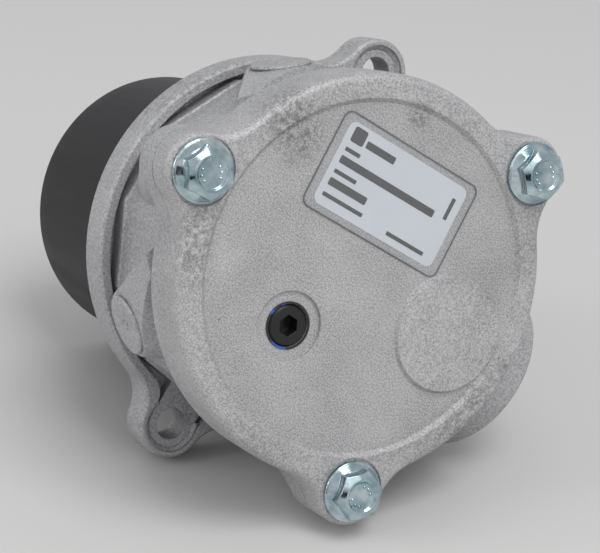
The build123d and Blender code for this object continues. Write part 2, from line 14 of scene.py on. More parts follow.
import bpy
import numpy as np
from mathutils import Matrix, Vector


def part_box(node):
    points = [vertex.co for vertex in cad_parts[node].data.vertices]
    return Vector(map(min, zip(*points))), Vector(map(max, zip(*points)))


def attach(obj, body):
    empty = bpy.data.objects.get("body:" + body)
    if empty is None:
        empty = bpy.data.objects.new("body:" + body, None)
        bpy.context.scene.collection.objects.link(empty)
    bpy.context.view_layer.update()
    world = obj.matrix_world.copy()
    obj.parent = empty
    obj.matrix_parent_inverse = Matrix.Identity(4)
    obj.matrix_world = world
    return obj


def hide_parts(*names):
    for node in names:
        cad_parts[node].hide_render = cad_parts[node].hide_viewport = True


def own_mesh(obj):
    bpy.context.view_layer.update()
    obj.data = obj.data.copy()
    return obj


log = logging.getLogger("return_line_filter")
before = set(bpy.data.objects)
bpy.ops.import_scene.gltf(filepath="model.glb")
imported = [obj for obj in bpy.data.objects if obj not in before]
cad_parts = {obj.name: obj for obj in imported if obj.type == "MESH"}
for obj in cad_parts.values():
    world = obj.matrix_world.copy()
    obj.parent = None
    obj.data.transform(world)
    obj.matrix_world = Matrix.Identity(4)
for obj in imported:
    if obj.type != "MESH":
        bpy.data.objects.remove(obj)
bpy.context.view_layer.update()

Colour = tuple[float, float, float]
Socket = bpy.types.NodeSocket
HOUSING = "housing"
MM = 0.001


class Crispness(Enum):
    """The angle, in degrees, above which an edge between facets stays crisp."""

    MACHINED = 24.0
    CAST = 32.0
    SOFT = 60.0


def linear(colour: Colour) -> tuple[float, float, float, float]:
    """A display colour given as 0 to 255, turned to the linear values that shaders use.

    Args:
        colour: red, green and blue, 0 to 255.

    Returns:
        Linear red, green, blue and an alpha of 1. The curve is a straight part near black and a
        power of 2.4 above it.
    """
    values = np.array(colour) / 255.0
    curve = np.where(values <= 0.04045, values / 12.92, ((values + 0.055) / 1.055) ** 2.4)
    return (float(curve[0]), float(curve[1]), float(curve[2]), 1.0)


class Graph:
    """A material's node tree, with short calls for the nodes that the finishes share."""

    def __init__(self, name: str) -> None:
        """Starts a material of that name with one Principled shader."""
        self.material = bpy.data.materials.new(name)
        self.material.use_nodes = True
        self.tree = self.material.node_tree
        self.tree.nodes.clear()
        self.shader = self.add("ShaderNodeBsdfPrincipled")
        self.output = self.add("ShaderNodeOutputMaterial")
        self.link(self.shader.outputs["BSDF"], self.output.inputs["Surface"])
        self.place = self.add("ShaderNodeTexCoord").outputs["Object"]

    def add(self, kind: str, **settings: object) -> bpy.types.Node:
        """Adds a node of that kind and sets its own properties."""
        node = self.tree.nodes.new(kind)
        for key, value in settings.items():
            setattr(node, key, value)
        return node

    def link(self, out: Socket, into: Socket) -> None:
        """Joins an output to an input."""
        self.tree.links.new(out, into)

    def feed(self, node: bpy.types.Node, key: int | str, value: object) -> None:
        """Links a socket to an input, or sets the input where the value is a plain one."""
        if isinstance(value, bpy.types.NodeSocket):
            self.link(value, node.inputs[key])
        else:
            node.inputs[key].default_value = value

    def noise(self, scale: float, detail: float = 2.0, rough: float = 0.5,
              where: Socket | None = None) -> Socket:
        """Fractal noise over the piece.

        Args:
            scale: cells per metre.
            detail: octaves.
            rough: how much each octave keeps.
            where: coordinates, or the object's own.

        Returns:
            The noise value, 0 to 1.
        """
        node = self.add("ShaderNodeTexNoise")
        self.link(where or self.place, node.inputs["Vector"])
        for key, value in zip(("Scale", "Detail", "Roughness"), (scale, detail, rough)):
            node.inputs[key].default_value = value
        return node.outputs["Fac"]

    def cells(self, scale: float) -> Socket:
        """Distance to the nearest of scattered points, for pits and shot marks."""
        node = self.add("ShaderNodeTexVoronoi")
        self.link(self.place, node.inputs["Vector"])
        node.inputs["Scale"].default_value = scale
        return node.outputs["Distance"]

    def ramp(self, value: Socket, low: float, high: float, start: float = 0.0, end: float = 1.0) -> Socket:
        """Straight ramp that maps low to start and high to end, and holds both ends."""
        node = self.add("ShaderNodeMapRange")
        self.link(value, node.inputs["Value"])
        for key, number in zip(("From Min", "From Max", "To Min", "To Max"), (low, high, start, end)):
            node.inputs[key].default_value = number
        return node.outputs["Result"]

    def band(self, value: Socket, low: float, high: float, soft: float) -> Socket:
        """1 between low and high and 0 outside, with slopes of width soft: two ramps multiplied."""
        rise, fall = self.ramp(value, low - soft, low), self.ramp(value, high, high + soft, 1.0, 0.0)
        return self.maths("MULTIPLY", rise, fall)

    def maths(self, kind: str, first: object, second: object = 0.0) -> Socket:
        """One step of arithmetic on two values."""
        node = self.add("ShaderNodeMath", operation=kind)
        self.feed(node, 0, first)
        self.feed(node, 1, second)
        return node.outputs[0]

    def mixed(self, amount: object, first: object, second: object) -> Socket:
        """Mixes two colours, amount 0 giving the first."""
        node = self.add("ShaderNodeMix", data_type="RGBA")
        self.feed(node, 0, amount)
        self.feed(node, 6, first)
        self.feed(node, 7, second)
        return node.outputs[2]

    def bump(self, height: Socket, depth: float, under: Socket | None = None) -> Socket:
        """Raises the surface by a height of up to depth metres, over any earlier bump."""
        node = self.add("ShaderNodeBump")
        node.inputs["Strength"].default_value = 1.0
        node.inputs["Distance"].default_value = depth
        self.link(height, node.inputs["Height"])
        if under is not None:
            self.link(under, node.inputs["Normal"])
        return node.outputs["Normal"]

    def round_edges(self, radius: float) -> Socket:
        """A normal that turns softly over edges, as a small radius does."""
        node = self.add("ShaderNodeBevel", samples=6)
        node.inputs["Radius"].default_value = radius
        return node.outputs["Normal"]

    def reach(self, centre: tuple[float, float] = (0.0, 0.0)) -> Socket:
        """Distance from a vertical line in metres: the length of X and Y less the line's own."""
        parts = self.add("ShaderNodeSeparateXYZ")
        self.link(self.place, parts.inputs[0])
        x = self.maths("SUBTRACT", parts.outputs[0], centre[0])
        y = self.maths("SUBTRACT", parts.outputs[1], centre[1])
        squares = self.maths("ADD", self.maths("MULTIPLY", x, x), self.maths("MULTIPLY", y, y))
        return self.maths("SQRT", squares)


@dataclass(frozen=True)
class BlastedCasting:
    """Shot-blasted aluminium casting: fine speckle, soft mottling, pits and rubbed dark marks."""

    name: str
    light: Colour = (200, 199, 200)
    dark: Colour = (127, 127, 128)
    smudge: Colour = (84, 83, 83)
    metallic: float = 0.30
    roughness: float = 0.52
    grain: float = 2300.0
    grain_depth: float = 0.00012
    speckle: float = 0.68
    rub_from: float = 0.0462
    rub_to: float = 0.0530
    rub_amount: float = 0.6
    rub_spots: tuple[tuple[float, float, float], ...] = ()

    def build(self) -> bpy.types.Material:
        """Builds the material: speckle and mottling drive colour, roughness and bump.

        Dark rub marks gather in a ring between rub_from and rub_to metres from the axis, where
        castings knock together, and in rub_spots, each an X, a Y and a reach in metres. A spot
        fades from its middle to its reach. Elsewhere the marks thin out.

        Returns:
            The finished material.
        """
        g = Graph(self.name)
        speck = g.noise(self.grain, 3.0, 0.62)
        coarse = g.noise(self.grain * 0.30, 2.0, 0.5)
        patch = g.noise(38.0, 4.0, 0.6)
        fine = g.maths("MULTIPLY", g.ramp(speck, 0.38, 0.62), self.speckle)
        broad = g.maths("MULTIPLY", g.ramp(patch, 0.3, 0.7), 1.0 - self.speckle)
        tone = g.maths("ADD", fine, broad)
        base = g.mixed(tone, linear(self.dark), linear(self.light))
        ring = g.band(g.reach(), self.rub_from, self.rub_to, 0.0035)
        drift = g.ramp(g.noise(17.0, 2.0, 0.5), 0.47, 0.62)
        flecks = g.ramp(g.noise(640.0, 5.0, 0.75), 0.45, 0.58)
        rub = g.maths("MULTIPLY", ring, drift)
        for x, y, reach in self.rub_spots:
            rub = g.maths("MAXIMUM", rub, g.ramp(g.reach((x, y)), reach * 0.35, reach, 1.0, 0.0))
        rub = g.maths("MULTIPLY", rub, flecks)
        stray = g.maths("MULTIPLY", g.ramp(g.noise(60.0, 6.0, 0.7), 0.64, 0.76), 0.14)
        marks = g.maths("MULTIPLY", g.maths("MAXIMUM", rub, stray), self.rub_amount)
        base = g.mixed(marks, base, linear(self.smudge))
        hole = g.ramp(g.cells(300.0), 0.06, 0.12, 1.0, 0.0)
        pit = g.maths("MULTIPLY", hole, g.ramp(g.noise(90.0, 1.0), 0.60, 0.66))
        base = g.mixed(g.maths("MULTIPLY", pit, 0.55), base, linear(self.smudge))
        g.link(base, g.shader.inputs["Base Color"])
        g.shader.inputs["Metallic"].default_value = self.metallic
        gloss = g.ramp(speck, 0.2, 0.8, self.roughness - 0.1, self.roughness + 0.12)
        g.link(gloss, g.shader.inputs["Roughness"])
        rise = g.maths("ADD", g.maths("MULTIPLY", speck, 0.6), g.maths("MULTIPLY", coarse, 0.5))
        rise = g.maths("SUBTRACT", rise, g.maths("MULTIPLY", pit, 0.9))
        g.link(g.bump(rise, self.grain_depth, g.round_edges(0.0005)), g.shader.inputs["Normal"])
        return g.material


@dataclass(frozen=True)
class BrightSteel:
    """Zinc-plated or plain bright steel, its tint and gloss drifting over each piece."""

    name: str
    colour: Colour = (206, 219, 224)
    tint: Colour = (140, 166, 172)
    roughness: float = 0.10
    edge_radius: float = 0.0003
    ripple: float = 0.00003
    cloud: float = 170.0

    def build(self) -> bpy.types.Material:
        """Builds the material: a full metal with slow cloud, fine ripple and softened edges."""
        g = Graph(self.name)
        cloud = g.noise(self.cloud, 3.0, 0.55)
        base = g.mixed(g.ramp(cloud, 0.35, 0.65), linear(self.tint), linear(self.colour))
        g.link(base, g.shader.inputs["Base Color"])
        g.shader.inputs["Metallic"].default_value = 1.0
        gloss = g.ramp(g.noise(900.0, 2.0), 0.2, 0.8, self.roughness - 0.05, self.roughness + 0.12)
        g.link(gloss, g.shader.inputs["Roughness"])
        ripple = g.bump(g.noise(420.0, 2.0), self.ripple, g.round_edges(self.edge_radius))
        g.link(ripple, g.shader.inputs["Normal"])
        return g.material


@dataclass(frozen=True)
class Moulded:
    """Moulded plastic, rubber or a dark dipped coat, with a fine surface grain."""

    name: str
    colour: Colour
    variation: Colour
    roughness: float = 0.5
    grain: float = 900.0
    grain_depth: float = 0.00002
    edge_radius: float = 0.0004

    def build(self) -> bpy.types.Material:
        """Builds the material: two close colours over slow noise, under a fine bump."""
        g = Graph(self.name)
        cloud = g.noise(24.0, 4.0, 0.6)
        base = g.mixed(g.ramp(cloud, 0.3, 0.7), linear(self.colour), linear(self.variation))
        g.link(base, g.shader.inputs["Base Color"])
        sheen = g.noise(self.grain * 0.4, 3.0)
        gloss = g.ramp(sheen, 0.2, 0.8, self.roughness - 0.06, self.roughness + 0.08)
        g.link(gloss, g.shader.inputs["Roughness"])
        grain = g.bump(g.noise(self.grain, 2.0), self.grain_depth, g.round_edges(self.edge_radius))
        g.link(grain, g.shader.inputs["Normal"])
        return g.material


@dataclass(frozen=True)
class Nylon:
    """Charcoal glass-filled nylon: faint flow streaks that run along the draw, dust and scuffs."""

    name: str = "charcoal_nylon"
    colour: Colour = (22, 22, 24)
    flow: Colour = (29, 29, 31)
    scuff: Colour = (56, 56, 58)
    roughness: float = 0.46
    specular: float = 0.22

    def build(self) -> bpy.types.Material:
        """Builds the material: noise stretched along Z for flow marks, and small pale scuffs."""
        g = Graph(self.name)
        stretch = g.add("ShaderNodeMapping")
        g.link(g.place, stretch.inputs["Vector"])
        stretch.inputs["Scale"].default_value = (1.0, 1.0, 0.08)
        streak = g.noise(160.0, 3.0, 0.6, stretch.outputs["Vector"])
        base = g.mixed(g.ramp(streak, 0.3, 0.7), linear(self.colour), linear(self.flow))
        marks = g.ramp(g.noise(380.0, 4.0, 0.7), 0.66, 0.74)
        base = g.mixed(g.maths("MULTIPLY", marks, 0.35), base, linear(self.scuff))
        g.link(base, g.shader.inputs["Base Color"])
        g.shader.inputs["Specular IOR Level"].default_value = self.specular
        gloss = g.ramp(streak, 0.2, 0.8, self.roughness - 0.05, self.roughness + 0.08)
        g.link(gloss, g.shader.inputs["Roughness"])
        g.link(g.bump(g.noise(1400.0, 2.0), 0.00003, g.round_edges(0.0006)), g.shader.inputs["Normal"])
        return g.material


@dataclass(frozen=True)
class ClearFilm:
    """Clear self-adhesive film: mostly see-through, with a soft gloss."""

    name: str = "clear_film"
    colour: Colour = (196, 198, 200)
    haze: Colour = (188, 190, 192)
    cover: float = 0.10
    roughness: float = 0.22

    def build(self) -> bpy.types.Material:
        """Builds the material: its own alpha lets what lies under it show."""
        g = Graph(self.name)
        base = g.mixed(g.ramp(g.noise(120.0, 3.0), 0.3, 0.7), linear(self.colour), linear(self.haze))
        g.link(base, g.shader.inputs["Base Color"])
        g.shader.inputs["Alpha"].default_value = self.cover
        g.shader.inputs["Roughness"].default_value = self.roughness
        g.link(g.bump(g.noise(260.0, 2.0), 0.00001), g.shader.inputs["Normal"])
        return g.material


@dataclass(frozen=True)
class Sealant:
    """Blue thread sealant that shows only in places round a dark plug."""

    name: str = "thread_sealant"
    blue: Colour = (34, 92, 178)
    dark: Colour = (36, 36, 38)

    def build(self) -> bpy.types.Material:
        """Builds the material: slow noise leaves the blue only on a few short arcs."""
        g = Graph(self.name)
        show = g.ramp(g.noise(190.0, 2.0), 0.60, 0.66)
        g.link(g.mixed(show, linear(self.dark), linear(self.blue)), g.shader.inputs["Base Color"])
        g.shader.inputs["Roughness"].default_value = 0.35
        g.link(g.bump(g.noise(900.0, 2.0), 0.0001), g.shader.inputs["Normal"])
        return g.material


@dataclass(frozen=True)
class PleatedMedia:
    """Cream filter media under a fine woven support mesh."""

    name: str = "pleated_media"
    colour: Colour = (222, 214, 190)
    thread: Colour = (168, 164, 150)

    def build(self) -> bpy.types.Material:
        """Builds the material: two sets of stripes, up and round, make the mesh's weave."""
        g = Graph(self.name)
        weave = []
        for direction in ("X", "Z"):
            wave = g.add("ShaderNodeTexWave", bands_direction=direction)
            g.link(g.place, wave.inputs["Vector"])
            wave.inputs["Scale"].default_value = 260.0
            weave.append(wave.outputs["Fac"])
        cross = g.maths("MAXIMUM", weave[0], weave[1])
        base = g.mixed(g.ramp(cross, 0.75, 0.95), linear(self.colour), linear(self.thread))
        g.link(base, g.shader.inputs["Base Color"])
        g.shader.inputs["Roughness"].default_value = 0.85
        g.link(g.bump(cross, 0.00008), g.shader.inputs["Normal"])
        return g.material


def dress(node: str, material: bpy.types.Material, crispness: Crispness = Crispness.CAST) -> None:
    """Gives a CAD node a material and smooth shading that keeps its edges.

    Args:
        node: the CAD node's name.
        material: its finish.
        crispness: which edges stay crisp.
    """
    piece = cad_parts[node]
    piece.data.materials.clear()
    piece.data.materials.append(material)
    piece.data.polygons.foreach_set("use_smooth", np.ones(len(piece.data.polygons), dtype=bool))
    weld = piece.modifiers.new("join_facets", "WELD")
    weld.merge_threshold = 1e-6
    split = piece.modifiers.new("crisp_edges", "EDGE_SPLIT")
    split.split_angle = math.radians(crispness.value)
    log.info("dressed %s with %s", node, material.name)


def grid_faces(rows: int, columns: int, wrap_rows: bool, wrap_columns: bool, first: int = 0) -> np.ndarray:
    """Quads between neighbours on a grid of points.

    Args:
        rows: points along the first parameter.
        columns: points along the second parameter.
        wrap_rows: the last row joins the first.
        wrap_columns: the last column joins the first.
        first: index of the grid's first point.

    Returns:
        One row of four indices for each quad.
    """
    u = np.arange(rows if wrap_rows else rows - 1)
    v = np.arange(columns if wrap_columns else columns - 1)
    u, v = np.meshgrid(u, v, indexing="ij")
    after_u, after_v = (u + 1) % rows, (v + 1) % columns
    corners = [u * columns + v, after_u * columns + v, after_u * columns + after_v, u * columns + after_v]
    return np.stack(corners, axis=-1).reshape(-1, 4) + first


def add_piece(name: str, points: np.ndarray, faces: np.ndarray | list[list[int]],
              material: bpy.types.Material, smooth: bool = True) -> bpy.types.Object:
    """Makes a mesh piece that rides on the housing.

    Args:
        name: the piece's name.
        points: vertices in metres, one row each.
        faces: the vertex indices of each face.
        material: its finish.
        smooth: shade it smooth.

    Returns:
        The new object.
    """
    mesh = bpy.data.meshes.new(name)
    mesh.from_pydata(points.tolist(), [], faces.tolist() if isinstance(faces, np.ndarray) else faces)
    mesh.polygons.foreach_set("use_smooth", np.full(len(mesh.polygons), smooth))
    mesh.materials.append(material)
    mesh.update()
    piece = bpy.data.objects.new(name, mesh)
    bpy.context.scene.collection.objects.link(piece)
    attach(piece, HOUSING)
    log.info("made %s with %d faces", name, len(mesh.polygons))
    return piece


def rounded_rectangle(size: tuple[float, float], corner: float, steps: int = 32) -> np.ndarray:
    """Outline of a rectangle with round corners, centred on the origin.

    A point's direction picks its corner by the signs of its cosine and sine, and the corner's radius
    goes round that corner's own centre.

    Args:
        size: length and width.
        corner: the corners' radius.
        steps: points all round, a multiple of four.

    Returns:
        One X and one Y for each point, anticlockwise.
    """
    spin = (np.arange(steps) + 0.5) * 2 * math.pi / steps
    direction = np.stack([np.cos(spin), np.sin(spin)], axis=-1)
    return np.sign(direction) * (np.array(size) / 2 - corner) + direction * corner


def swept(outline: np.ndarray, profile: np.ndarray) -> np.ndarray:
    """Carries a profile of offset and height round a plan outline.

    Args:
        outline: rows of X and Y, anticlockwise and closed.
        profile: rows of an offset along the outline's inward normal and a height, anticlockwise
            as seen along the outline.

    Returns:
        Points in rows of outline by profile. The inward normal is the outline's tangent, the step
        between the neighbours of a point, turned a quarter turn to the left.
    """
    along = np.roll(outline, -1, axis=0) - np.roll(outline, 1, axis=0)
    inward = np.stack([-along[:, 1], along[:, 0]], axis=-1) / np.linalg.norm(along, axis=1)[:, None]
    flat = outline[:, None, :] + inward[:, None, :] * profile[None, :, :1]
    height = np.broadcast_to(profile[None, :, 1:], (*flat.shape[:2], 1))
    return np.concatenate([flat, height], axis=-1)


@dataclass
class Castings:
    """The head and cover castings, and the thread cut in the inlet port."""

    thread_pitch: float = 2.309 * MM
    thread_root: float = 15.13 * MM
    thread_crest: float = 14.70 * MM
    thread_from: float = 48.0 * MM
    thread_to: float = 66.9 * MM
    port_z: float = 26.0 * MM
    ear_pitch: float = 57.5 * MM
    slot_inner: float = 6.5 * MM
    slot_outer: float = 8.0 * MM
    web_foot: float = 5.0 * MM
    web_inner_top: float = 8.75 * MM
    web_outer_top: float = 9.6 * MM
    web_half_turn: float = 118.0
    web_bulge: float = 0.15 * MM
    gauge_angles: tuple[float, ...] = (130.0, -130.0)
    gauge_height: float = 23.0 * MM
    gauge_face: float = 53.1 * MM
    gauge_pad: float = 8.3 * MM
    gauge_proud: float = 0.55 * MM
    gauge_dimple: float = 2.6 * MM
    gauge_rim: float = 0.7 * MM
    cover_rubs: tuple[tuple[float, float, float], ...] = (
        (-0.0372, 0.0208, 0.0085),
        (-0.0427, 0.0234, 0.0105),
        (-0.0106, 0.0430, 0.005),
        (0.0541, 0.0007, 0.007),
    )

    def build(self) -> None:
        """Dresses both castings and adds the ears' webs, the gauge faces and the port's thread."""
        dress("cover_casting", BlastedCasting("cover_aluminium", rub_spots=self.cover_rubs).build())
        head = BlastedCasting("head_aluminium", light=(190, 190, 192), dark=(134, 134, 136), grain=1500.0,
                              grain_depth=0.00008, rub_from=0.0490, rub_to=0.0540,
                              rub_amount=0.4).build()
        dress("head_casting", head)
        self.make_ear_webs(head)
        self.make_gauge_faces(head)
        thread = BlastedCasting("cut_thread", light=(206, 206, 208), dark=(170, 170, 172), metallic=0.8,
                                roughness=0.3, grain_depth=0.00002, rub_amount=0.0).build()
        self.make_thread(thread)

    def make_ear_webs(self, material: bpy.types.Material) -> None:
        """Fills the slot round each ear's pad, save for a short groove towards the flange.

        A point goes round the ear's hole by an angle u, and its profile is a closed five-sided one
        that rises from the pad to the ear's wall. Both ends are closed by the profile itself.
        """
        middle_of_slot = (self.slot_inner + self.slot_outer) / 2
        profile = np.array([(self.slot_inner, self.web_foot), (self.slot_outer, self.web_foot),
                            (self.slot_outer, self.web_outer_top),
                            (middle_of_slot, self.web_inner_top + self.web_bulge),
                            (self.slot_inner, self.web_inner_top)])
        rows, columns = 64, len(profile)
        points, faces, ends = [], [], []
        for side in (1.0, -1.0):
            middle = math.radians(90.0 * side)
            reach = math.radians(self.web_half_turn)
            u = np.linspace(middle - reach, middle + reach, rows)
            radius, height = profile[None, :, 0], np.broadcast_to(profile[None, :, 1], (rows, columns))
            x = radius * np.cos(u)[:, None]
            y = self.ear_pitch * side + radius * np.sin(u)[:, None]
            ring = np.stack([x, y, height], axis=-1)
            first = len(points) * rows * columns
            points.append(ring.reshape(-1, 3))
            faces += grid_faces(rows, columns, False, True, first).tolist()
            last = first + (rows - 1) * columns
            ends += [list(range(first, first + columns)), list(range(last + columns - 1, last - 1, -1))]
        add_piece("ear_webs", np.concatenate(points), faces + ends, material)

    def make_gauge_faces(self, material: bpy.types.Material) -> None:
        """Makes the low round face of each blank gauge boss, with a drill dimple in its middle.

        A profile of radius and rise turns about the boss's own axis, which points straight out from
        the filter's. It starts at a pole in the dimple, climbs its cone, crosses the flat face, goes
        round the rim and ends at a pole behind the face.
        """
        profile = np.array([(0.0, -1.2), (0.25, -1.1), (0.85, 0.75), (1.0, 0.98)])
        profile = profile * np.array([self.gauge_dimple, self.gauge_proud])
        rim = np.array([(-0.9, 1.0), (-0.45, 0.96), (-0.12, 0.72), (0.0, 0.3), (0.0, -0.6)])
        rim = rim * np.array([self.gauge_rim, self.gauge_proud]) + np.array([self.gauge_pad, 0.0])
        back = np.array([(0.0, -0.9 * self.gauge_proud)])
        profile = np.concatenate([profile, rim, back])
        columns, around = len(profile), 40
        turn = np.linspace(0.0, 2 * math.pi, around, endpoint=False)
        up = np.array([0.0, 0.0, 1.0])
        points, faces = [], []
        for angle in np.radians(self.gauge_angles):
            out = np.array([math.cos(angle), math.sin(angle), 0.0])
            side = np.array([-math.sin(angle), math.cos(angle), 0.0])
            sideways = (np.cos(turn)[:, None] * profile[None, :, 0])[..., None] * side
            upward = (np.sin(turn)[:, None] * profile[None, :, 0])[..., None] * up
            outward = (self.gauge_face + profile[:, 1])[None, :, None] * out
            spun = sideways + upward + outward + up * self.gauge_height
            first = sum(len(part) for part in points)
            inner = spun[:, 1:-1].reshape(-1, 3)
            points.append(np.concatenate([inner, spun[:1, 0], spun[:1, -1]]))
            middle = columns - 2
            faces += grid_faces(around, middle, True, False, first)[:, ::-1].tolist()
            step = np.arange(around)
            front, rear = first + around * middle, first + around * middle + 1
            here, after = first + step * middle, first + (step + 1) % around * middle
            faces += np.stack([np.full(around, front), here, after], axis=-1).tolist()
            here, after = here + middle - 1, after + middle - 1
            faces += np.stack([after, here, np.full(around, rear)], axis=-1).tolist()
        add_piece("gauge_faces", np.concatenate(points), faces, material)

    def make_thread(self, material: bpy.types.Material) -> None:
        """Makes the inlet port's thread as one closed sleeve.

        A point goes round the port by an angle u and along a closed profile v. On the inner side the
        radius is the root less the ridge's height, a triangle wave of the distance along the port
        plus the pitch times u over a full turn, so the ridge climbs as a helix. It fades out at both
        ends. The outer side is a plain cylinder just inside the port's wall.
        """
        around, along = 72, 190
        u = np.linspace(0.0, 2 * math.pi, around, endpoint=False)
        run = np.linspace(self.thread_from, self.thread_to, along)
        turn, place = np.meshgrid(u, run, indexing="ij")
        phase = (place - self.thread_from) / self.thread_pitch + turn / (2 * math.pi)
        ridge = 1.0 - np.abs(2.0 * (phase % 1.0) - 1.0)
        ends = np.minimum(place - self.thread_from, self.thread_to - place) / self.thread_pitch
        ridge *= np.clip(ends, 0.0, 1.0)
        inner = self.thread_root - 0.02 * MM - ridge * (self.thread_root - self.thread_crest)
        outer = np.full((around, 2), self.thread_root)
        radius = np.concatenate([inner, outer], axis=1)
        x = np.concatenate([place, np.tile([self.thread_to, self.thread_from], (around, 1))], axis=1)
        spin = np.repeat(u[:, None], along + 2, axis=1)
        points = np.stack([x, radius * np.cos(spin), self.port_z + radius * np.sin(spin)], axis=-1)
        faces = grid_faces(around, along + 2, True, True)[:, ::-1]
        add_piece("inlet_thread", points.reshape(-1, 3), faces, material)


@dataclass
class Fasteners:
    """The cover screws with their raised head marks, and the socket plug with its sealant."""

    pitch_radius: float = 56.5 * MM
    angles: tuple[float, ...] = (180.0, 60.0, -60.0)
    turns: tuple[float, ...] = (4.0, 18.0, 41.0)
    dot_radius: float = 0.5 * MM
    dot_height: float = 0.34 * MM
    mark_radius: float = 2.7 * MM
    mark_spread: tuple[float, ...] = (-34.0, -4.0, 30.0, 148.0, 184.0, 214.0)
    mark_start: float = 35.0
    dish_depth: float = 0.45 * MM

    def build(self) -> None:
        """Dresses the fasteners and adds the marks."""
        zinc = BrightSteel("zinc_plate").build()
        dress("cover_screws", zinc, Crispness.MACHINED)
        oxide = Moulded("black_oxide", (14, 14, 15), (24, 24, 26), 0.34, 500.0, 0.00003, 0.0003).build()
        dress("vent_plug", oxide, Crispness.MACHINED)
        dress("plug_sealant", Sealant().build())
        self.make_marks(zinc)

    def make_marks(self, material: bpy.types.Material) -> None:
        """Makes the raised dots on the screw heads.

        Each dot is a low dome: at a share s of its radius its height is the dot's height times the
        square root of one less s squared, and a pole and a flat underside close it. Two groups of
        three dots stand on a circle on each head.
        """
        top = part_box("cover_screws")[1].z - self.dish_depth - 0.02 * MM
        share = np.sin(np.linspace(0.3, math.pi / 2, 5))
        around = 14
        spin = np.linspace(0.0, 2 * math.pi, around, endpoint=False)
        ring, turn = np.meshgrid(share, spin, indexing="ij")
        flat = ring * self.dot_radius
        dome = np.stack([flat * np.cos(turn), flat * np.sin(turn),
                         np.sqrt(1.0 - ring ** 2) * self.dot_height], axis=-1).reshape(-1, 3)
        dome = np.concatenate([dome, [(0.0, 0.0, self.dot_height)]])
        step = np.arange(around)
        crown = np.stack([step, (step + 1) % around, np.full(around, len(dome) - 1)], axis=-1)
        under = np.arange(len(dome) - 2, len(dome) - 2 - around, -1)
        one = [*grid_faces(len(share), around, False, True), *crown, under]
        spread = np.radians(self.mark_spread)
        points, faces = [], []
        for angle, head_turn in zip(self.angles, self.turns):
            spot_angle = math.radians(angle)
            centre = self.pitch_radius * np.array([math.cos(spot_angle), math.sin(spot_angle)])
            places = spread + math.radians(head_turn + self.mark_start)
            spots = centre + self.mark_radius * np.stack([np.cos(places), np.sin(places)], axis=-1)
            for spot in spots:
                faces += [(face + len(points) * len(dome)).tolist() for face in one]
                points.append(dome + np.array([spot[0], spot[1], top]))
        add_piece("screw_marks", np.concatenate(points), faces, material)


@dataclass(frozen=True)
class Bar:
    """A printed bar on the label: its left end, bottom, length and height, in millimetres."""

    left: float
    bottom: float
    length: float
    height: float


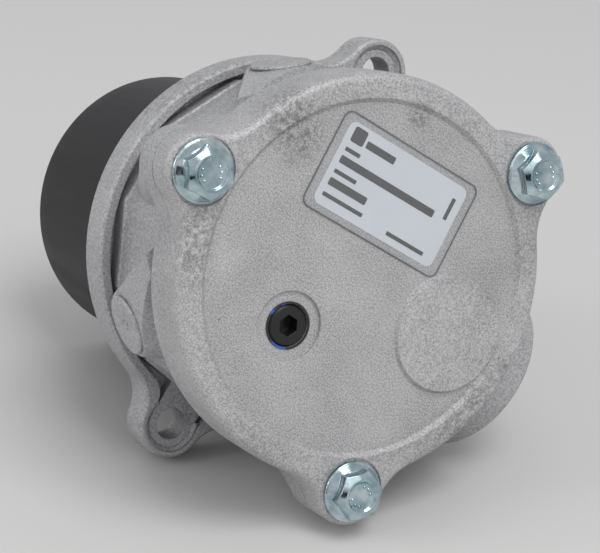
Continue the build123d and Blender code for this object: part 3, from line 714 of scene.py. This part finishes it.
@dataclass
class Label:
    """The label with plain printed bars, under a clear film that reaches past its edges."""

    centre: tuple[float, float] = (-5.9 * MM, 22.1 * MM)
    turn: float = 3.4
    plate: tuple[float, float] = (41.0 * MM, 23.2 * MM)
    plate_corner: float = 2.2 * MM
    film: tuple[float, float] = (46.4 * MM, 27.2 * MM)
    film_corner: float = 2.6 * MM
    edge_width: float = 0.32 * MM
    edge_proud: float = 0.005 * MM
    plate_thickness: float = 0.12 * MM
    ink_thickness: float = 0.015 * MM
    film_from: float = 0.17 * MM
    film_to: float = 0.29 * MM
    bar_corner: float = 0.16
    bars: tuple[Bar, ...] = (
        Bar(-18.6, 6.5, 4.2, 4.2), Bar(-13.6, 6.9, 9.8, 2.0), Bar(-18.6, 3.7, 4.9, 1.1),
        Bar(-18.6, 0.3, 32.5, 2.1), Bar(-18.6, -2.6, 7.4, 1.1), Bar(-18.6, -6.0, 12.6, 2.1),
        Bar(-18.6, -9.1, 13.4, 1.1), Bar(3.6, -9.7, 13.0, 1.1), Bar(17.0, 1.6, 1.2, 6.2),
    )

    def build(self) -> None:
        """Makes the label, its bars, its film and a dark band of painted shade along the film's cut edge."""
        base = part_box("label_plate")[0].z
        top = base + self.plate_thickness
        smooth = 0.000004
        white = Moulded("label_white", (205, 210, 217), (201, 207, 215), 0.42, 1200.0, smooth, 0.0001).build()
        ink = Moulded("label_ink", (30, 31, 34), (42, 43, 46), 0.4, 1500.0, smooth, 0.00005).build()
        # painted shade: a dark grey for the band that stands in for the shade along the clear film's cut edge
        edge = Moulded("film_edge_painted_shade", (92, 94, 96), (112, 114, 116), 0.35, 1200.0, smooth, 0.0001).build()
        outline = rounded_rectangle(self.plate, self.plate_corner)
        face = self.slabs("label_face", [outline], base, top, white)
        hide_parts("label_plate")
        outlines = [self.bar_outline(bar) for bar in self.bars]
        self.slabs("label_bars", outlines, top, top + self.ink_thickness, ink)
        cover = rounded_rectangle(self.film, self.film_corner)
        low, high = base + self.film_from, base + self.film_to
        film = self.slabs("film_sheet", [cover], low, high, ClearFilm().build())
        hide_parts("label_film")
        # the dark band of painted shade round the film's cut edge
        self.make_painted_edge_shade(cover, base, edge)

    def bar_outline(self, bar: Bar) -> np.ndarray:
        """A bar's outline on the label, in metres."""
        corner = min(bar.length, bar.height) * self.bar_corner
        middle = np.array([bar.left + bar.length / 2, bar.bottom + bar.height / 2])
        return (middle + rounded_rectangle((bar.length, bar.height), corner)) * MM

    def placed(self, points: np.ndarray) -> np.ndarray:
        """Turns points by the label's turn about +Z and moves them to its place."""
        turn = math.radians(self.turn)
        spin = np.array([[math.cos(turn), math.sin(turn), 0.0],
                         [-math.sin(turn), math.cos(turn), 0.0],
                         [0.0, 0.0, 1.0]])
        return points @ spin + np.array([*self.centre, 0.0])

    def slabs(self, name: str, outlines: Sequence[np.ndarray], low: float, high: float,
              material: bpy.types.Material) -> bpy.types.Object:
        """Makes flat plates from their outlines as one piece.

        Each outline gives a lower and an upper ring, joined by quads and closed by one face each.

        Args:
            name: the piece's name.
            outlines: anticlockwise rows of X and Y on the label.
            low: the plates' undersides.
            high: their tops.
            material: their finish.

        Returns:
            The new object.
        """
        points, faces, first = [], [], 0
        for outline in outlines:
            steps = len(outline)
            for height in (low, high):
                points.append(np.column_stack([outline, np.full(steps, height)]))
            faces += grid_faces(2, steps, False, True, first)[:, ::-1].tolist()
            faces.append(list(range(first + steps, first + 2 * steps)))
            faces.append(list(range(first + steps - 1, first - 1, -1)))
            first += 2 * steps
        return add_piece(name, self.placed(np.concatenate(points)), faces, material, smooth=False)

    def make_painted_edge_shade(self, outline: np.ndarray, base: float, material: bpy.types.Material) -> None:
        """Makes a dark band of painted shade at the film's edge: a thin square band swept round the film's
        outline.
        """
        top = base + self.film_to + self.edge_proud
        profile = np.array([(0.0, base), (0.0, top), (self.edge_width, top), (self.edge_width, base)])
        points = self.placed(swept(outline, profile).reshape(-1, 3))
        faces = grid_faces(len(outline), len(profile), True, True)
        add_piece("film_edge_painted_shade", points, faces, material, smooth=False)


@dataclass
class BowlAndElement:
    """The bowl, the seals, the filter element and its bypass valve."""

    wire: float = 0.8 * MM
    coil_radius: float = 7.0 * MM
    coil_turns: float = 5.0
    dead_turns: float = 0.8
    end_ease: float = 0.25
    valve_travel: float = 6.0 * MM

    def build(self) -> None:
        """Dresses the bowl and everything inside it."""
        dress("bowl", Nylon().build())
        rubber = Moulded("nitrile_rubber", (20, 20, 20), (30, 30, 30), 0.55, 700.0, 0.00003).build()
        for node in ("cover_o_ring", "flange_o_ring", "bowl_o_ring", "element_o_ring"):
            dress(node, rubber, Crispness.SOFT)
        caps = Moulded("element_cap", (42, 45, 50), (52, 55, 60), 0.42).build()
        dress("element_top_cap", caps)
        dress("element_bottom_cap", caps)
        dress("element_media", PleatedMedia().build(), Crispness.MACHINED)
        dress("element_core", BrightSteel("tinned_steel", (206, 206, 208), (176, 176, 178), 0.3).build())
        wire = BrightSteel("spring_wire", (150, 150, 154), (110, 112, 118), 0.28, ripple=0.00006).build()
        dress("hold_down_spring", wire, Crispness.SOFT)
        thin_wire = BrightSteel("valve_spring_wire", (160, 160, 162), (120, 120, 124), 0.25).build()
        self.make_bypass_coil(thin_wire)
        valve = BrightSteel("valve_steel", (198, 196, 190), (166, 164, 158), 0.3).build()
        for node in ("bypass_cage", "bypass_poppet", "stem_clip"):
            dress(node, valve, Crispness.MACHINED)


    def make_bypass_coil(self, material: bpy.types.Material) -> None:
        """Makes the valve's spring, between the ends of the model's own spring.

        A circle of the wire's radius is carried along a helix. The turn runs evenly. The height stays
        level over the dead ends and climbs between them: mostly a straight ramp r, with a share of
        three r squared less two r cubed. The circle lies in the plane of the radial direction and of
        the cross product of the helix's direction and that.
        """
        low, high = (corner.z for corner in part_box("bypass_spring"))
        along, around = 400, 14
        share = np.linspace(0.0, 1.0, along)
        turn = share * self.coil_turns * 2 * math.pi
        dead = self.dead_turns / self.coil_turns
        rise = np.clip((share - dead) / (1.0 - 2.0 * dead), 0.0, 1.0)
        eased = 3.0 * rise ** 2 - 2.0 * rise ** 3
        rise = (1.0 - self.end_ease) * rise + self.end_ease * eased
        height = low + self.wire + rise * (high - low - 2.0 * self.wire)
        radial = np.stack([np.cos(turn), np.sin(turn), np.zeros(along)], axis=-1)
        line = radial * self.coil_radius
        line[:, 2] = height
        forward = np.gradient(line, axis=0)
        forward /= np.linalg.norm(forward, axis=1)[:, None]
        across = np.cross(forward, radial)
        spin = np.linspace(0.0, 2 * math.pi, around, endpoint=False)
        circle = np.cos(spin)[None, :, None] * radial[:, None, :]
        circle = circle + np.sin(spin)[None, :, None] * across[:, None, :]
        points = (line[:, None, :] + circle * self.wire).reshape(-1, 3)
        last = (along - 1) * around
        faces = grid_faces(along, around, False, True)[:, ::-1].tolist()
        faces += [list(range(around - 1, -1, -1)), list(range(last, last + around))]
        coil = add_piece("bypass_coil", points, faces, material)
        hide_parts("bypass_spring")
        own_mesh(coil)


@dataclass(frozen=True)
class Lamp:
    """A soft square lamp: where it stands, its side in metres and its power in watts."""

    name: str
    place: tuple[float, float, float]
    size: float
    power: float


@dataclass(frozen=True)
class Card:
    """A card for the bright metal to reflect: its middle, half its side, and its colour."""

    name: str
    place: tuple[float, float, float]
    half: float
    colour: Colour


@dataclass
class Studio:
    """Plain pale floor, soft lamps, dark cards for the bright metal, and the camera."""

    floor_half: float = 4.0
    floor_up: tuple[float, float, float] = (-0.575, 0.791, 0.208)
    floor_drop: float = 0.0551
    eye: tuple[float, float, float] = (-0.26699, -0.05588, 0.50237)
    right: tuple[float, float, float] = (0.73831, 0.50137, 0.45113)
    up: tuple[float, float, float] = (-0.47646, 0.86114, -0.17726)
    lens: float = 120.0
    shift_x: float = 0.058
    shift_y: float = 0.0
    floor_colour: Colour = (197, 196, 195)
    world_colour: Colour = (226, 227, 229)
    world_strength: float = 0.80
    lamps: tuple[Lamp, ...] = (
        Lamp("key", (-0.75, 1.15, 1.25), 0.9, 17.0),
        Lamp("fill", (-0.25, 0.60, 1.80), 1.2, 3.5),
        Lamp("side", (-1.45, -0.30, -0.10), 0.8, 5.0),
    )
    cards: tuple[Card, ...] = (
        Card("dark_card", (-0.10, -0.29, 0.72), 0.17, (8, 8, 9)),
        Card("low_card", (-0.75, -0.55, 0.25), 0.25, (8, 8, 9)),
        Card("side_card", (0.62, 0.10, 0.55), 0.13, (16, 16, 17)),
    )

    def build(self) -> None:
        """Makes the floor, the camera, the world, the lamps and the cards."""
        self.make_floor()
        self.make_camera()
        self.make_world()
        for lamp in self.lamps:
            self.make_lamp(lamp)
        for card in self.cards:
            self.make_card(card)

    def make_floor(self) -> None:
        """Makes the floor, a flat square that the part lies on as it is put down on its side.

        The floor's own upward direction is floor_up, and it passes floor_drop below the origin, where
        an ear, a screw column and the inlet boss touch it together.
        """
        up = np.array(self.floor_up) / np.linalg.norm(self.floor_up)
        side = np.cross(up, (0.0, 0.0, 1.0))
        side /= np.linalg.norm(side)
        ahead = np.cross(up, side)
        signs = np.array([(-1.0, -1.0), (1.0, -1.0), (1.0, 1.0), (-1.0, 1.0)]) * self.floor_half
        corners = signs @ np.stack([side, ahead]) - up * self.floor_drop
        mesh = bpy.data.meshes.new("floor")
        mesh.from_pydata(corners.tolist(), [], [(0, 1, 2, 3)])
        floor = bpy.data.objects.new("floor", mesh)
        bpy.context.scene.collection.objects.link(floor)
        g = Graph("pale_floor")
        paler = tuple(c + 3 for c in self.floor_colour)
        base = g.mixed(g.ramp(g.noise(3.0), 0.3, 0.7), linear(self.floor_colour), linear(paler))
        g.link(base, g.shader.inputs["Base Color"])
        g.shader.inputs["Roughness"].default_value = 0.6
        floor.data.materials.append(g.material)

    def facing(self, place: Sequence[float]) -> Matrix:
        """Placement at a point with its back to the outside: -Z looks at the part's middle."""
        away = np.array(place) / np.linalg.norm(place)
        side = np.cross((0.0, 0.0, 1.0), away)
        side /= np.linalg.norm(side)
        turn = np.eye(4)
        turn[:3, 0], turn[:3, 1], turn[:3, 2], turn[:3, 3] = side, np.cross(away, side), away, place
        return Matrix(turn.tolist())

    def make_card(self, card: Card) -> None:
        """Makes a flat card outside the view, which only reflections show."""
        mesh = bpy.data.meshes.new(card.name)
        corners = [(-card.half, -card.half, 0.0), (card.half, -card.half, 0.0),
                   (card.half, card.half, 0.0), (-card.half, card.half, 0.0)]
        mesh.from_pydata(corners, [], [(0, 1, 2, 3)])
        sheet = bpy.data.objects.new(card.name, mesh)
        bpy.context.scene.collection.objects.link(sheet)
        sheet.matrix_world = self.facing(card.place)
        sheet.visible_camera = sheet.visible_diffuse = sheet.visible_shadow = False
        g = Graph(card.name)
        g.shader.inputs["Base Color"].default_value = linear(card.colour)
        g.shader.inputs["Roughness"].default_value = 0.9
        sheet.data.materials.append(g.material)

    def make_camera(self) -> None:
        """Makes the camera from its place, right and up; its back is the cross product of the two."""
        data = bpy.data.cameras.new("camera")
        data.lens = self.lens
        data.sensor_width = 36.0
        data.shift_x = self.shift_x
        data.shift_y = self.shift_y
        data.clip_start = 0.01
        camera = bpy.data.objects.new("camera", data)
        bpy.context.scene.collection.objects.link(camera)
        right = np.array(self.right) / np.linalg.norm(self.right)
        up = np.array(self.up) - right * np.dot(right, self.up)
        up /= np.linalg.norm(up)
        turn = np.eye(4)
        turn[:3, 0], turn[:3, 1], turn[:3, 2], turn[:3, 3] = right, up, np.cross(right, up), self.eye
        camera.matrix_world = Matrix(turn.tolist())
        bpy.context.scene.camera = camera

    def make_world(self) -> None:
        """Sets a plain soft grey world."""
        world = bpy.data.worlds.new("studio")
        world.use_nodes = True
        shade = world.node_tree.nodes["Background"]
        shade.inputs["Color"].default_value = linear(self.world_colour)
        shade.inputs["Strength"].default_value = self.world_strength
        bpy.context.scene.world = world
        bpy.context.scene.view_settings.view_transform = "Standard"

    def make_lamp(self, lamp: Lamp) -> None:
        """Makes a soft square lamp that faces the part's middle."""
        data = bpy.data.lights.new(lamp.name, "AREA")
        data.size = lamp.size
        data.energy = lamp.power
        light = bpy.data.objects.new(lamp.name, data)
        bpy.context.scene.collection.objects.link(light)
        light.matrix_world = self.facing(lamp.place)


def main() -> None:
    """Builds the looks in order."""
    logging.basicConfig(level=logging.INFO, format="%(name)s: %(message)s")
    for assembly in (Castings(), Fasteners(), Label(), BowlAndElement(), Studio()):
        assembly.build()
        log.info("finished %s", type(assembly).__name__)


if __name__ == "__main__":
    main()
